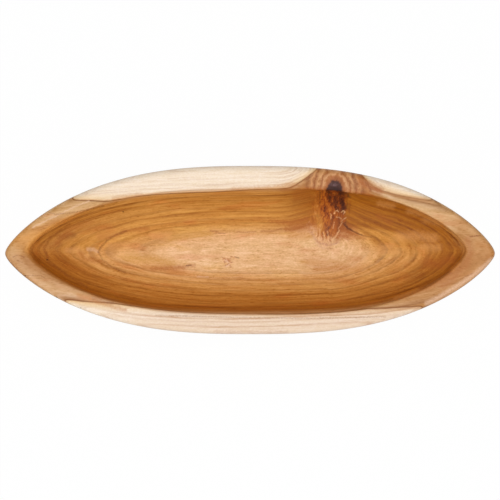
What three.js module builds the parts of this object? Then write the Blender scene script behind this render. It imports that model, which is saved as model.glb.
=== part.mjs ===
// Boat-shaped fruit bowl, carved from one piece of teak.
// Millimetres, +Z up. +X runs along the bowl to its right tip, +Y to its back side.
// The origin is on the floor, under the middle of the bowl. The foot rests on z = 0.

import * as THREE from 'three';

// Rim, seen from above
const LENGTH = 500;
const BACK_REACH = 87.4;
const FRONT_REACH = 87.2;
const TIP_LINE_Y = -3.4;

// Heights
const RIM_HEIGHT = 58;
const TIP_RISE = 20;
const FLOOR_THICKNESS = 14;

// Width of the rim, measured from the outer edge to the lip of the hollow
const BACK_RIM_WIDTH = 24.2;
const FRONT_RIM_WIDTH = 21.4;
const LEFT_TIP_RIM = 25;
const RIGHT_TIP_RIM = 29.6;

// Flat foot that the bowl stands on
const FOOT_LENGTH = 236;
const FOOT_WIDTH = 56;

// Roundings
const EDGE_ROUNDING = 7;
const LIP_ROUNDING = 2.6;
const LEFT_LIP_SOFTENING = 4.5;

// The knot on the back lip has dried away and left a shallow hollow
const KNOT_X = 87;
const KNOT_HOLLOW_DEPTH = 2;
const KNOT_HOLLOW_RADIUS = 9;

// Outlines: a larger exponent carries the width further toward that tip
const OUTER_EXPONENT = { left: 2.58, right: 2.66 };
const INNER_EXPONENT = { left: 2.8, right: 3.35 };
const TIP_EXPONENT = 0.775;
const TIP_BLUNT_RATIO = 0.04;

// Side profiles of the hull: 1 is a straight slope, and more swells it outward.
// The bilge exponent turns it out of the foot in a curve instead of a corner.
const SIDE_SWELL_EXPONENT = 1.5;
const END_SWELL_EXPONENT = 1.2;
const BILGE_EXPONENT = 1.35;

// Profile of the hollow: how flat its bed is and how upright its wall gets at the lip
const BED_EXPONENT = 2.2;
const WALL_EXPONENT = 1.35;
const CONTOUR_EXPONENT = 1.5;

// Fineness of the facets
const STATIONS = 96;
const KNOT_STATIONS = 4;
const KNOT_STATION_STEP = THREE.MathUtils.degToRad(1.3);
const HULL_LEVELS = [0.02, 0.06, 0.12, 0.2, 0.3, 0.42, 0.55, 0.68, 0.8, 0.9, 0.96, 1];
const EDGE_STEPS = 4;
const RIM_SHARES = [0.4, 0.72, 0.88, 1];
const LIP_STEPS = 3;
const WALL_LEVELS = [0.985, 0.96, 0.925, 0.88, 0.82, 0.75, 0.67, 0.58, 0.48, 0.37, 0.25, 0.12];

const HALF_LENGTH = LENGTH / 2;
const CAVITY_LEFT = -HALF_LENGTH + LEFT_TIP_RIM;
const CAVITY_RIGHT = HALF_LENGTH - RIGHT_TIP_RIM;
const CAVITY_CENTRE_X = (CAVITY_LEFT + CAVITY_RIGHT) / 2;
const CAVITY_HALF_LENGTH = (CAVITY_RIGHT - CAVITY_LEFT) / 2;
const CAVITY_BACK = BACK_REACH - BACK_RIM_WIDTH;
const CAVITY_FRONT = FRONT_REACH - FRONT_RIM_WIDTH;

// Width of a boat-shaped outline, as a share of its middle, at t from -1 (left tip) to 1 (right tip).
// Sharpening 0 gives an ellipse and 1 the full boat shape.
function outlineShare(t, fullness, sharpening = 1) {
  const full = t < 0 ? fullness.left : fullness.right;
  const power = THREE.MathUtils.lerp(2, full, sharpening);
  const sharpness = (TIP_EXPONENT - 0.5) * sharpening;
  const u = Math.max(1 - Math.abs(t) ** power, 0);
  return Math.sqrt(u) * ((u + TIP_BLUNT_RATIO) / (1 + TIP_BLUNT_RATIO)) ** sharpness;
}

// Height of the rim's top face: lowest at the middle, rising to both tips.
function rimHeight(x) {
  return RIM_HEIGHT + TIP_RISE * (x / HALF_LENGTH) ** 2;
}

// Point of the bowl's outer outline at angle a, as seen from above.
function outerOutline(a) {
  const t = Math.cos(a);
  const reach = Math.sin(a) >= 0 ? BACK_REACH - TIP_LINE_Y : -(FRONT_REACH + TIP_LINE_Y);
  return new THREE.Vector2(HALF_LENGTH * t, TIP_LINE_Y + reach * outlineShare(t, OUTER_EXPONENT));
}

// Point of the hollow's contour at angle a, for a level from 0 (floor centre) to 1 (lip).
function cavityContour(a, level) {
  const t = Math.cos(a);
  const reach = Math.sin(a) >= 0 ? CAVITY_BACK : -CAVITY_FRONT;
  const share = outlineShare(t, INNER_EXPONENT, level ** CONTOUR_EXPONENT);
  return new THREE.Vector2(CAVITY_CENTRE_X + CAVITY_HALF_LENGTH * level * t, reach * level * share);
}

// The lip is crisp along the sides and softer at the left end.
function lipRounding(a) {
  return LIP_ROUNDING + LEFT_LIP_SOFTENING * Math.max(-Math.cos(a), 0) ** 6;
}

const KNOT_ANGLE = Math.acos((KNOT_X - CAVITY_CENTRE_X) / CAVITY_HALF_LENGTH);
const KNOT_PLACE = cavityContour(KNOT_ANGLE, 1);

// How far the knot's hollow lowers the surface at a point seen from above.
function knotHollow(point) {
  const reach = point.distanceTo(KNOT_PLACE) / (KNOT_HOLLOW_RADIUS / 2);
  return KNOT_HOLLOW_DEPTH * Math.exp(-(reach ** 2) / 2);
}

// Angles of the stations around the bowl: evenly spread, with extra ones at the knot.
function stationAngles() {
  const spread = KNOT_STATIONS * KNOT_STATION_STEP;
  const even = Array.from({ length: STATIONS }, (_, i) => (2 * Math.PI * i) / STATIONS);
  const clearOfKnot = even.filter((a) => Math.abs(a - KNOT_ANGLE) > spread + KNOT_STATION_STEP / 2);
  const atKnot = Array.from(
    { length: 2 * KNOT_STATIONS + 1 },
    (_, i) => KNOT_ANGLE + (i - KNOT_STATIONS) * KNOT_STATION_STEP,
  );
  return [...clearOfKnot, ...atKnot].sort((a, b) => a - b);
}

const ANGLES = stationAngles();

// Outer side of the bowl, from the edge of the foot up to where the edge rounding starts.
function hullRings() {
  const foot = (a) => new THREE.Vector2((FOOT_LENGTH / 2) * Math.cos(a), (FOOT_WIDTH / 2) * Math.sin(a));
  return [0, ...HULL_LEVELS].map((level) =>
    ANGLES.map((a) => {
      const swell = THREE.MathUtils.lerp(SIDE_SWELL_EXPONENT, END_SWELL_EXPONENT, Math.cos(a) ** 2);
      const spread = (1 - (1 - level) ** swell) ** (1 / BILGE_EXPONENT);
      const edge = outerOutline(a);
      const place = foot(a).lerp(edge, spread);
      return new THREE.Vector3(place.x, place.y, level * (rimHeight(edge.x) - EDGE_ROUNDING));
    }),
  );
}

// A ring on the rim, a way in from the outer edge and a drop below the rim's top face.
function rimRing(wayIn, drop) {
  return ANGLES.map((a) => {
    const edge = outerOutline(a);
    const lip = cavityContour(a, 1);
    const width = edge.distanceTo(lip);
    const place = edge.lerp(lip, wayIn(a, width) / width);
    return new THREE.Vector3(place.x, place.y, rimHeight(place.x) - drop(a) - knotHollow(place));
  });
}

// Rounded outer edge, flat top face and rounded lip of the rim.
function rimRings() {
  const rings = [];
  for (let i = 1; i <= EDGE_STEPS; i += 1) {
    const turn = (Math.PI / 2) * (i / EDGE_STEPS);
    const wayIn = EDGE_ROUNDING * (1 - Math.cos(turn));
    const drop = EDGE_ROUNDING * (1 - Math.sin(turn));
    rings.push(rimRing(() => wayIn, () => drop));
  }
  for (const share of RIM_SHARES) {
    const acrossTop = (a, width) => THREE.MathUtils.lerp(EDGE_ROUNDING, width - lipRounding(a), share);
    rings.push(rimRing(acrossTop, () => 0));
  }
  for (let i = 1; i <= LIP_STEPS; i += 1) {
    const turn = (Math.PI / 2) * (i / LIP_STEPS);
    const wayIn = (a, width) => width - lipRounding(a) * (1 - Math.sin(turn));
    rings.push(rimRing(wayIn, (a) => lipRounding(a) * (1 - Math.cos(turn))));
  }
  return rings;
}

// Wall and bed of the hollow, from just below the lip down to the floor.
function cavityRings() {
  return WALL_LEVELS.map((level) => {
    const climb = 1 - (1 - level ** BED_EXPONENT) ** (1 / WALL_EXPONENT);
    return ANGLES.map((a) => {
      const place = cavityContour(a, level);
      const lipHeight = rimHeight(cavityContour(a, 1).x) - lipRounding(a);
      const height = THREE.MathUtils.lerp(FLOOR_THICKNESS, lipHeight, climb);
      return new THREE.Vector3(place.x, place.y, height - knotHollow(place));
    });
  });
}

// Closed skin through the rings, with a point at the first and the last ring's middle.
function skin(firstPole, rings, lastPole) {
  const count = ANGLES.length;
  const points = [firstPole, ...rings.flat(), lastPole];
  const last = points.length - 1;
  const at = (ring, station) => 1 + ring * count + (station % count);
  const faces = [];
  for (let j = 0; j < count; j += 1) {
    faces.push(0, at(0, j + 1), at(0, j));
    for (let i = 0; i + 1 < rings.length; i += 1) {
      const [a, b, c, d] = [at(i, j), at(i, j + 1), at(i + 1, j + 1), at(i + 1, j)];
      const straight = points[a].distanceTo(points[c]) <= points[b].distanceTo(points[d]);
      faces.push(...(straight ? [a, b, c, a, c, d] : [a, b, d, b, c, d]));
    }
    faces.push(last, at(rings.length - 1, j), at(rings.length - 1, j + 1));
  }
  const geometry = new THREE.BufferGeometry();
  const coordinates = points.flatMap((point) => point.toArray());
  geometry.setAttribute('position', new THREE.Float32BufferAttribute(coordinates, 3));
  geometry.setIndex(faces);
  geometry.computeVertexNormals();
  return geometry;
}

function makeBowl() {
  const underFoot = new THREE.Vector3(0, 0, 0);
  const floorMiddle = new THREE.Vector3(CAVITY_CENTRE_X, 0, FLOOR_THICKNESS);
  const rings = [...hullRings(), ...rimRings(), ...cavityRings()];
  const teak = new THREE.MeshStandardMaterial({ color: 0xc68a4f, roughness: 0.5, metalness: 0 });
  const bowl = new THREE.Mesh(skin(underFoot, rings, floorMiddle), teak);
  bowl.name = 'bowl';
  return bowl;
}

const fruitBowl = new THREE.Group();
fruitBowl.add(makeBowl());

export default fruitBowl;
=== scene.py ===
"""A boat-shaped fruit bowl carved from one piece of teak, dressed for its portrait from above.

Metres, +Z up, +X along the bowl to its right tip and +Y to its back side, where the knot is. The wood is
worked out as a solid: the place of each point of the surface inside the log gives its growth ring, and a
branch that grew out of the log pushes the rings aside and shows as the knot.
"""

import logging
import math
from dataclasses import dataclass
from typing import ClassVar

import bpy
import numpy as np
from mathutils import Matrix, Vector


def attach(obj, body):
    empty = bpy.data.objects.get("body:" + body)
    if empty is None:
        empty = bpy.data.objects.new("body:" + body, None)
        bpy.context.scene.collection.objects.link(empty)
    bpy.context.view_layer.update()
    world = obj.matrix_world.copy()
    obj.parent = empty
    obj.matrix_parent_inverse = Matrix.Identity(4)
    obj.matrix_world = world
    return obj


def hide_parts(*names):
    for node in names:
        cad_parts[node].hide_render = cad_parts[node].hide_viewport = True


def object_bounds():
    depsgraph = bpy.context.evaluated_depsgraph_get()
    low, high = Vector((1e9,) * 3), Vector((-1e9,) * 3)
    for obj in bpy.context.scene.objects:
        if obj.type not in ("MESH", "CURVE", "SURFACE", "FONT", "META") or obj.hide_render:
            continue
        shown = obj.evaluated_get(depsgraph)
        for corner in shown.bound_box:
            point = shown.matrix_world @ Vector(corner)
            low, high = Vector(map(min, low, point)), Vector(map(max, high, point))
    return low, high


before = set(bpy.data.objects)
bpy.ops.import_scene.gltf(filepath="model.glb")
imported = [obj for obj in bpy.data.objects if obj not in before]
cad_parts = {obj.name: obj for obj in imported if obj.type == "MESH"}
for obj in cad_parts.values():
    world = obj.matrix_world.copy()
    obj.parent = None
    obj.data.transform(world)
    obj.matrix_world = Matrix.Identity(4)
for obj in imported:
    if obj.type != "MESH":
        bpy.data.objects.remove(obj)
CAD_LOW, CAD_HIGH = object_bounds()

MM = 0.001
log = logging.getLogger("fruit_bowl")

# Where a step from 0 to 1 starts and where it ends
Span = tuple[float, float]
# Middle and width of a bell curve
Peak = tuple[float, float]


@dataclass(frozen=True)
class Exponents:
    """How far an outline carries its width toward each tip."""

    left: float
    right: float

    def at(self, t: np.ndarray) -> np.ndarray:
        """Exponent on the side of the middle where each t lies."""
        return np.where(t < 0, self.left, self.right)


@dataclass
class BowlForm:
    """Sizes and surfaces of the bowl, the same as its solid has, in metres."""

    half_length: float = (CAD_HIGH.x - CAD_LOW.x) / 2
    back_reach: float = CAD_HIGH.y
    front_reach: float = -CAD_LOW.y
    tip_line_y: float = -3.4 * MM
    rim_height: float = 58 * MM
    tip_rise: float = 20 * MM
    floor_thickness: float = 14 * MM
    back_rim_width: float = 24.2 * MM
    front_rim_width: float = 21.4 * MM
    left_tip_rim: float = 25 * MM
    right_tip_rim: float = 29.6 * MM
    foot_length: float = 236 * MM
    foot_width: float = 56 * MM
    edge_rounding: float = 7 * MM
    lip_rounding: float = 2.6 * MM
    left_lip_softening: float = 4.5 * MM
    knot_x: float = 87 * MM
    knot_hollow_depth: float = 2 * MM
    knot_hollow_radius: float = 9 * MM
    outer_exponents: Exponents = Exponents(left=2.58, right=2.66)
    inner_exponents: Exponents = Exponents(left=2.8, right=3.35)
    tip_exponent: float = 0.775
    tip_blunt_ratio: float = 0.04
    side_swell: float = 1.5
    end_swell: float = 1.2
    bilge_exponent: float = 1.35
    bed_exponent: float = 2.2
    wall_exponent: float = 1.35
    contour_exponent: float = 1.5
    stations: int = 680
    station_gathering: float = 0.17
    foot_rows: int = 9
    hull_rows: int = 42
    edge_rows: int = 8
    rim_rows: int = 12
    lip_rows: int = 7
    cavity_rows: int = 60
    cavity_row_spacing: float = 1.5

    @property
    def cavity_half_length(self) -> float:
        """Half the length of the hollow at its lip."""
        return self.half_length - (self.left_tip_rim + self.right_tip_rim) / 2

    @property
    def cavity_centre_x(self) -> float:
        """Middle of the hollow's length."""
        return (self.left_tip_rim - self.right_tip_rim) / 2

    def outline_share(
        self, t: np.ndarray, exponents: Exponents, sharpening: np.ndarray | float
    ) -> np.ndarray:
        """Width of an outline as a share of its middle.

        The square root of u = 1 - |t|^p, times u's own small power that draws the tips to a point. With no
        sharpening p is 2 and the outline is an ellipse.

        Args:
            t: Place along the outline, -1 at the left tip and 1 at the right tip.
            exponents: The power p toward each tip.
            sharpening: 0 for the ellipse to 1 for the full boat shape.

        Returns:
            The share, from 0 at the tips to 1 at the middle.
        """
        power = 2 + (exponents.at(t) - 2) * sharpening
        u = np.maximum(1 - np.abs(t) ** power, 0)
        blunt = (u + self.tip_blunt_ratio) / (1 + self.tip_blunt_ratio)
        return np.sqrt(u) * blunt ** ((self.tip_exponent - 0.5) * sharpening)

    def rim_top(self, x: np.ndarray) -> np.ndarray:
        """Height of the rim's top face, a parabola along the bowl."""
        return self.rim_height + self.tip_rise * (x / self.half_length) ** 2

    def outer_outline(self, a: np.ndarray) -> tuple[np.ndarray, np.ndarray]:
        """Outer outline of the bowl, as seen from above.

        Args:
            a: Angles of the stations.

        Returns:
            The x, half the length times cos a, and the y, the outline's share of the reach.
        """
        t = np.cos(a)
        back = self.back_reach - self.tip_line_y
        front = self.front_reach + self.tip_line_y
        reach = np.where(np.sin(a) >= 0, back, -front)
        share = self.outline_share(t, self.outer_exponents, 1.0)
        return self.half_length * t, self.tip_line_y + reach * share

    def contour(self, a: np.ndarray, level: np.ndarray | float) -> tuple[np.ndarray, np.ndarray]:
        """Contour of the hollow, as seen from above.

        It shrinks with the level and rounds from the lip's boat shape into an ellipse.

        Args:
            a: Angles of the stations.
            level: 0 at the middle of the bed to 1 at the lip.

        Returns:
            The x and the y of the contour.
        """
        t = np.cos(a)
        back = self.back_reach - self.back_rim_width
        front = self.front_reach - self.front_rim_width
        reach = np.where(np.sin(a) >= 0, back, -front)
        share = self.outline_share(t, self.inner_exponents, level**self.contour_exponent)
        return self.cavity_centre_x + self.cavity_half_length * level * t, reach * level * share

    def rounding(self, a: np.ndarray) -> np.ndarray:
        """Radius of the lip, softer toward the left end by the sixth power of -cos a."""
        return self.lip_rounding + self.left_lip_softening * np.maximum(-np.cos(a), 0) ** 6

    def knot_place(self) -> tuple[float, float]:
        """Where the knot stands on the back lip."""
        angle = np.arccos((self.knot_x - self.cavity_centre_x) / self.cavity_half_length)
        x, y = self.contour(angle, 1.0)
        return float(x), float(y)

    def knot_hollow(self, x: np.ndarray, y: np.ndarray) -> np.ndarray:
        """Depth of the knot's hollow, a bell curve of the distance from the knot."""
        knot_x, knot_y = self.knot_place()
        distance = np.hypot(x - knot_x, y - knot_y) / (self.knot_hollow_radius / 2)
        return self.knot_hollow_depth * np.exp(-(distance**2) / 2)

    def angles(self) -> np.ndarray:
        """Angles of the stations, gathered by a small sine of the double angle."""
        turn = np.arange(self.stations) * (2 * math.pi / self.stations)
        return turn + self.station_gathering * np.sin(2 * turn)

    def foot(self, a: np.ndarray) -> np.ndarray:
        """Flat oval foot.

        Args:
            a: Angles of the stations.

        Returns:
            Rows of ellipses on the floor, growing outward.
        """
        share = (np.arange(1, self.foot_rows + 1) / (self.foot_rows + 1))[:, None]
        x = self.foot_length / 2 * np.cos(a) * share
        y = self.foot_width / 2 * np.sin(a) * share
        return np.stack([x, y, np.zeros_like(x)], axis=-1)

    def hull(self, a: np.ndarray) -> np.ndarray:
        """Outer side, from the foot's oval up to the outer edge.

        At height v the side is spread toward the outline by (1 - (1 - v)^s)^(1/b). s is the swell, which
        is less at the ends than at the sides, and b turns the side out of the foot.

        Args:
            a: Angles of the stations.

        Returns:
            Rows of points, from the foot upward.
        """
        level = (np.linspace(0, 1, self.hull_rows) ** self.bilge_exponent)[:, None]
        swell = self.side_swell + (self.end_swell - self.side_swell) * np.cos(a) ** 2
        spread = (1 - (1 - level) ** swell) ** (1 / self.bilge_exponent)
        edge_x, edge_y = self.outer_outline(a)
        x = (1 - spread) * self.foot_length / 2 * np.cos(a) + spread * edge_x
        y = (1 - spread) * self.foot_width / 2 * np.sin(a) + spread * edge_y
        return np.stack([x, y, level * (self.rim_top(edge_x) - self.edge_rounding)], axis=-1)

    def rim(self, a: np.ndarray) -> np.ndarray:
        """Rim: a quarter circle over the outer edge, a level top and a quarter circle over the lip.

        Args:
            a: Angles of the stations.

        Returns:
            Rows of points, from the outer edge inward.
        """
        edge_x, edge_y = self.outer_outline(a)
        lip_x, lip_y = self.contour(a, 1.0)
        width = np.hypot(edge_x - lip_x, edge_y - lip_y)
        turn = (np.linspace(0, math.pi / 2, self.edge_rows + 1)[1:])[:, None]
        across = (np.arange(1, self.rim_rows + 1) / self.rim_rows)[:, None]
        over = (np.linspace(0, math.pi / 2, self.lip_rows + 1)[1:])[:, None]
        soft = self.rounding(a)
        flat = width - soft - self.edge_rounding
        way_in = np.concatenate([
            self.edge_rounding * (1 - np.cos(turn)) * np.ones_like(a),
            self.edge_rounding + flat * across,
            width - soft * (1 - np.sin(over)),
        ])
        drop = np.concatenate([
            self.edge_rounding * (1 - np.sin(turn)) * np.ones_like(a),
            np.zeros_like(flat * across),
            soft * (1 - np.cos(over)),
        ])
        x = edge_x + (lip_x - edge_x) * way_in / width
        y = edge_y + (lip_y - edge_y) * way_in / width
        return np.stack([x, y, self.rim_top(x) - drop - self.knot_hollow(x, y)], axis=-1)

    def cavity(self, a: np.ndarray) -> np.ndarray:
        """Wall and bed of the hollow.

        The height climbs by 1 - (1 - l^n)^(1/m) from the floor at level 0 to the lip at level 1.

        Args:
            a: Angles of the stations.

        Returns:
            Rows of points, from the lip downward.
        """
        step = np.arange(1, self.cavity_rows + 1) / (self.cavity_rows + 1)
        level = (1 - step**self.cavity_row_spacing)[:, None]
        climb = 1 - (1 - level**self.bed_exponent) ** (1 / self.wall_exponent)
        x, y = self.contour(a, level)
        lip_x, _ = self.contour(a, 1.0)
        lip_height = self.rim_top(lip_x) - self.rounding(a)
        height = self.floor_thickness + (lip_height - self.floor_thickness) * climb
        return np.stack([x, y, height - self.knot_hollow(x, y)], axis=-1)

    def rows(self) -> np.ndarray:
        """All rows of the skin, from inside the foot, up the hull, over the rim and down to the bed."""
        a = self.angles()[None, :]
        rows = np.concatenate([self.foot(a), self.hull(a), self.rim(a), self.cavity(a)])
        rows[..., 2] = np.minimum(rows[..., 2], CAD_HIGH.z)
        return rows


@dataclass
class Skin:
    """Closed mesh over rows of points, with a single point closing each end."""

    rows: np.ndarray
    first_pole: np.ndarray
    last_pole: np.ndarray

    @property
    def points(self) -> np.ndarray:
        """Every point of the mesh: the first pole, the rows in order, the last pole."""
        return np.concatenate([self.first_pole[None], self.rows.reshape(-1, 3), self.last_pole[None]])

    def faces(self) -> tuple[np.ndarray, np.ndarray]:
        """Triangles at the poles and quads between the rows, all facing outward.

        Returns:
            The triangles, and the quads in row order.
        """
        row_count, count = self.rows.shape[:2]
        here = np.arange(count)
        after = (here + 1) % count
        start = 1 + np.arange(row_count - 1)[:, None] * count
        corners = [start + here, start + after, start + count + after, start + count + here]
        quads = np.stack(corners, axis=-1).reshape(-1, 4)
        top = 1 + (row_count - 1) * count
        last = top + count
        first_fan = np.stack([np.zeros_like(here), 1 + after, 1 + here], axis=-1)
        last_fan = np.stack([np.full_like(here, last), top + here, top + after], axis=-1)
        return np.concatenate([first_fan, last_fan]), quads

    def mesh(self, name: str) -> bpy.types.Mesh:
        """Puts the points and faces into a new smooth mesh.

        Args:
            name: Name of the mesh.

        Returns:
            The mesh.
        """
        triangles, quads = self.faces()
        mesh = bpy.data.meshes.new(name)
        mesh.vertices.add(len(self.points))
        mesh.vertices.foreach_set("co", self.points.astype(np.float32).ravel())
        corners = np.concatenate([triangles.ravel(), quads.ravel()]).astype(np.int32)
        totals = np.concatenate([np.full(len(triangles), 3), np.full(len(quads), 4)])
        starts = np.concatenate([[0], np.cumsum(totals)[:-1]]).astype(np.int32)
        mesh.loops.add(len(corners))
        mesh.loops.foreach_set("vertex_index", corners)
        mesh.polygons.add(len(totals))
        mesh.polygons.foreach_set("loop_start", starts)
        mesh.polygons.foreach_set("use_smooth", np.ones(len(totals), bool))
        mesh.update(calc_edges=True)
        return mesh


class Output:
    """What one node gives to the nodes after it."""

    def __init__(self, socket: bpy.types.NodeSocket) -> None:
        """Keeps the socket that the value comes out of."""
        self.socket = socket

    def node(self, kind: str, **settings: object) -> bpy.types.Node:
        """Adds a node to the same material."""
        return add_node(self.socket.id_data, kind, **settings)


def add_node(tree: bpy.types.NodeTree, kind: str, **settings: object) -> bpy.types.Node:
    """Adds a node to a node tree.

    Args:
        tree: The node tree of a material or a world.
        kind: The node's type.
        settings: Properties to set on the node.

    Returns:
        The new node.
    """
    node = tree.nodes.new(kind)
    for name, value in settings.items():
        setattr(node, name, value)
    return node


def connect(slot: bpy.types.NodeSocket, value: "Output | float | tuple[float, ...]") -> None:
    """Feeds an input either from another node or with a fixed value."""
    if isinstance(value, Output):
        slot.id_data.links.new(value.socket, slot)
    else:
        slot.default_value = value


def nearness_group() -> bpy.types.NodeTree:
    """Node group that tells how near a place is to a straight line.

    The place's share of the way along the line is held between 0 and 1, and its distance from the point
    there is turned into a strength that falls smoothly to 0 at the width.

    Returns:
        The group, made the first time that it is asked for.
    """
    name = "nearness_to_line"
    if name in bpy.data.node_groups:
        return bpy.data.node_groups[name]
    group = bpy.data.node_groups.new(name, "ShaderNodeTree")
    for label in ("Place", "Start", "Along"):
        group.interface.new_socket(label, in_out="INPUT", socket_type="NodeSocketVector")
    for label in ("Per Square", "Width", "Strength"):
        group.interface.new_socket(label, in_out="INPUT", socket_type="NodeSocketFloat")
    group.interface.new_socket("Nearness", in_out="OUTPUT", socket_type="NodeSocketFloat")
    given = add_node(group, "NodeGroupInput").outputs
    along = Place(given["Along"])
    offset = Place(Place(given["Place"]).vector_math("SUBTRACT", Place(given["Start"])).outputs[0])
    share = Field(offset.vector_math("DOT_PRODUCT", along).outputs["Value"]) * Field(given["Per Square"])
    share = share.maximum(0.0).minimum(1.0)
    reached = along.node("ShaderNodeVectorMath", operation="SCALE")
    connect(reached.inputs[0], along)
    connect(reached.inputs["Scale"], share)
    gap = Field(offset.vector_math("DISTANCE", Place(reached.outputs[0])).outputs["Value"])
    near = gap.node("ShaderNodeMapRange", interpolation_type="SMOOTHSTEP")
    for label, value in (("Value", gap), ("From Min", Field(given["Width"])), ("From Max", 0.0)):
        connect(near.inputs[label], value)
    connect(near.inputs["To Max"], Field(given["Strength"]))
    connect(add_node(group, "NodeGroupOutput").inputs[0], Output(near.outputs[0]))
    return group


class Field(Output):
    """A number that varies over the surface. Arithmetic on it adds nodes."""

    def math(self, operation: str, *others: "Field | float") -> "Field":
        """Joins this number with others through one Math node."""
        node = self.node("ShaderNodeMath", operation=operation)
        for slot, value in zip(node.inputs, (self, *others)):
            connect(slot, value)
        return Field(node.outputs[0])

    def __add__(self, other: "Field | float") -> "Field":
        """Sum."""
        return self.math("ADD", other)

    def __sub__(self, other: "Field | float") -> "Field":
        """Difference."""
        return self.math("SUBTRACT", other)

    def __rsub__(self, other: float) -> "Field":
        """A plain number less this one."""
        return self.math("MULTIPLY_ADD", -1.0, other)

    def __mul__(self, other: "Field | float") -> "Field":
        """Product."""
        return self.math("MULTIPLY", other)

    def maximum(self, other: "Field | float") -> "Field":
        """The larger of two numbers."""
        return self.math("MAXIMUM", other)

    def minimum(self, other: "Field | float") -> "Field":
        """The smaller of two numbers."""
        return self.math("MINIMUM", other)

    def rise(self, low: float, high: float) -> "Field":
        """Smooth step from 0 at low to 1 at high, or from 1 down to 0 where low is the larger."""
        node = self.node("ShaderNodeMapRange", interpolation_type="SMOOTHSTEP")
        for name, value in (("Value", self), ("From Min", low), ("From Max", high)):
            connect(node.inputs[name], value)
        return Field(node.outputs[0])

    def bell(self, middle: float, width: float) -> "Field":
        """Bell curve of height 1, which is e^(-d^2) at d widths from its middle."""
        distance = (self - middle) * (1 / width)
        return (distance * distance * -1.0).math("EXPONENT")

    def levels(self, stops: "tuple[tuple[float, float], ...]") -> "Field":
        """Straight lines between levels, each given as a place and a value from 0 to 1."""
        return Field(self._ramp(tuple((at, (v, v, v, 1.0)) for at, v in stops)))

    def colours(self, stops: "tuple[tuple[float, Colour], ...]") -> "Paint":
        """Blend between colours, each given with its place."""
        return Paint(self._ramp(tuple((at, colour.linear) for at, colour in stops)))

    def _ramp(self, stops: "tuple[tuple[float, tuple[float, ...]], ...]") -> bpy.types.NodeSocket:
        """Adds a Color Ramp node for this number.

        Args:
            stops: Places in rising order, each with its linear colour.

        Returns:
            The socket that the ramp's colour comes out of.
        """
        low, high = stops[0][0], stops[-1][0]
        node = self.node("ShaderNodeValToRGB")
        connect(node.inputs["Fac"], (self - low) * (1 / (high - low)))
        elements = node.color_ramp.elements
        elements[0].position, elements[1].position = 0.0, 1.0
        elements[0].color, elements[1].color = stops[0][1], stops[-1][1]
        for place, colour in stops[1:-1]:
            elements.new((place - low) / (high - low)).color = colour
        return node.outputs["Color"]


class Place(Output):
    """A place or direction that varies over the surface, in millimetres."""

    def vector_math(self, operation: str, other: "Place | tuple[float, float, float]") -> bpy.types.Node:
        """Adds one Vector Math node on this place and another."""
        node = self.node("ShaderNodeVectorMath", operation=operation)
        connect(node.inputs[0], self)
        connect(node.inputs[1], other)
        return node

    @classmethod
    def at(cls, x: Field, y: Field, z: Field) -> "Place":
        """Place with these three coordinates."""
        node = x.node("ShaderNodeCombineXYZ")
        for slot, value in zip(node.inputs, (x, y, z)):
            connect(slot, value)
        return cls(node.outputs[0])

    def times(self, factors: tuple[float, float, float]) -> "Place":
        """Stretches or flattens the place along its axes."""
        return Place(self.vector_math("MULTIPLY", factors).outputs[0])

    def drawn_out(self, factor: float) -> "Place":
        """Place in which noise comes out drawn along the grain by a factor."""
        return self.times((1 / factor, 1.0, 1.0))

    def parts(self) -> tuple[Field, Field, Field]:
        """The three coordinates."""
        node = self.node("ShaderNodeSeparateXYZ")
        connect(node.inputs[0], self)
        return Field(node.outputs[0]), Field(node.outputs[1]), Field(node.outputs[2])

    def noise(self, size: float, detail: float = 2.0, roughness: float = 0.5) -> Field:
        """Noise from -1 to 1.

        Args:
            size: Size of its lumps, in millimetres.
            detail: How many finer layers it has.
            roughness: How strong the finer layers are.

        Returns:
            The noise.
        """
        node = self.node("ShaderNodeTexNoise")
        settings = {"Vector": self, "Scale": 1 / size, "Detail": detail, "Roughness": roughness}
        for name, value in settings.items():
            connect(node.inputs[name], value)
        return (Field(node.outputs["Fac"]) - 0.5) * 2.0

    def wobble(self, size: float, amount: float) -> "Place":
        """Shakes the place about with noise.

        Args:
            size: Size of the noise's lumps, in millimetres.
            amount: Largest shift along each axis, in millimetres.

        Returns:
            The shaken place.
        """
        node = self.node("ShaderNodeTexNoise")
        for name, value in (("Vector", self), ("Scale", 1 / size), ("Detail", 1.0)):
            connect(node.inputs[name], value)
        shake = Place(node.outputs["Color"]).vector_math("SUBTRACT", (0.5, 0.5, 0.5))
        shake = Place(shake.outputs[0]).times((2 * amount, 2 * amount, 2 * amount))
        return Place(self.vector_math("ADD", shake).outputs[0])

    def near(
        self, start: tuple[float, float], end: tuple[float, float], width: float, strength: float
    ) -> Field:
        """How near the place is, seen from above, to a straight line between two points.

        Args:
            start: One end of the line, as x and y.
            end: The other end.
            width: Distance at which the nearness has gone down to 0.
            strength: Nearness on the line itself.

        Returns:
            The strength on the line, falling smoothly to 0 at the width.
        """
        along = (end[0] - start[0], end[1] - start[1], 0.0)
        per_square = 1 / (along[0] ** 2 + along[1] ** 2)
        node = self.node("ShaderNodeGroup", node_tree=nearness_group())
        for slot, value in zip(node.inputs, (self, (*start, 0.0), along, per_square, width, strength)):
            connect(slot, value)
        return Field(node.outputs[0])


@dataclass(frozen=True)
class Colour:
    """A colour as screens name it, with red, green and blue from 0 to 255."""

    red: int
    green: int
    blue: int

    @property
    def linear(self) -> tuple[float, float, float, float]:
        """The same colour in linear light, by the curve that sRGB screens follow."""
        parts = [value / 255 for value in (self.red, self.green, self.blue)]
        red, green, blue = [p / 12.92 if p <= 0.04045 else ((p + 0.055) / 1.055) ** 2.4 for p in parts]
        return red, green, blue, 1.0


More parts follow.
